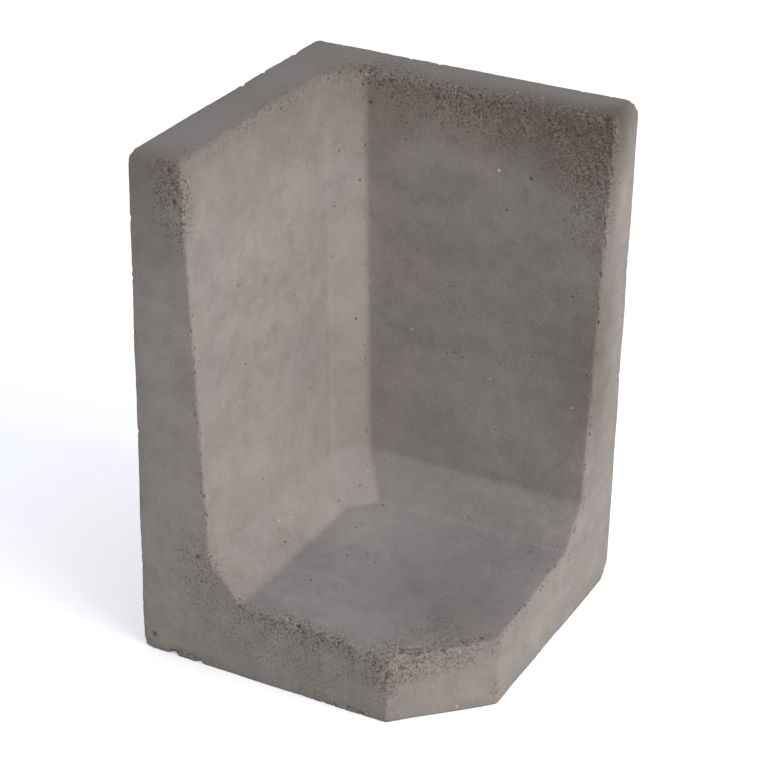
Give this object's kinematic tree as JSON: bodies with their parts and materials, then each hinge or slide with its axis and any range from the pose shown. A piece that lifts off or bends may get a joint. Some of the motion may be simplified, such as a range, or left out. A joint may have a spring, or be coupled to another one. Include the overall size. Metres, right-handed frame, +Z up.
{
  "type": "corner l-shaped retaining wall element",
  "caption": "Cast concrete corner element with two tapering walls at a right angle on one foot slab, haunched inside; holds back soil at the corner of a low retaining wall.",
  "frame": {"origin": "middle of the square that the outer faces and the ends bound, on the base", "axes": "+Z up, as it stands; the outer corner is at -X +Y and the cut corner of the foot at +X -Y"},
  "size_m": [0.4, 0.4, 0.6],
  "materials": {
    "concrete": "matt, as cast, with fine open pores along the arrises"
  },
  "bodies": {
    "root": {"corner_wall_element": "concrete"}
  },
  "joints": []
}
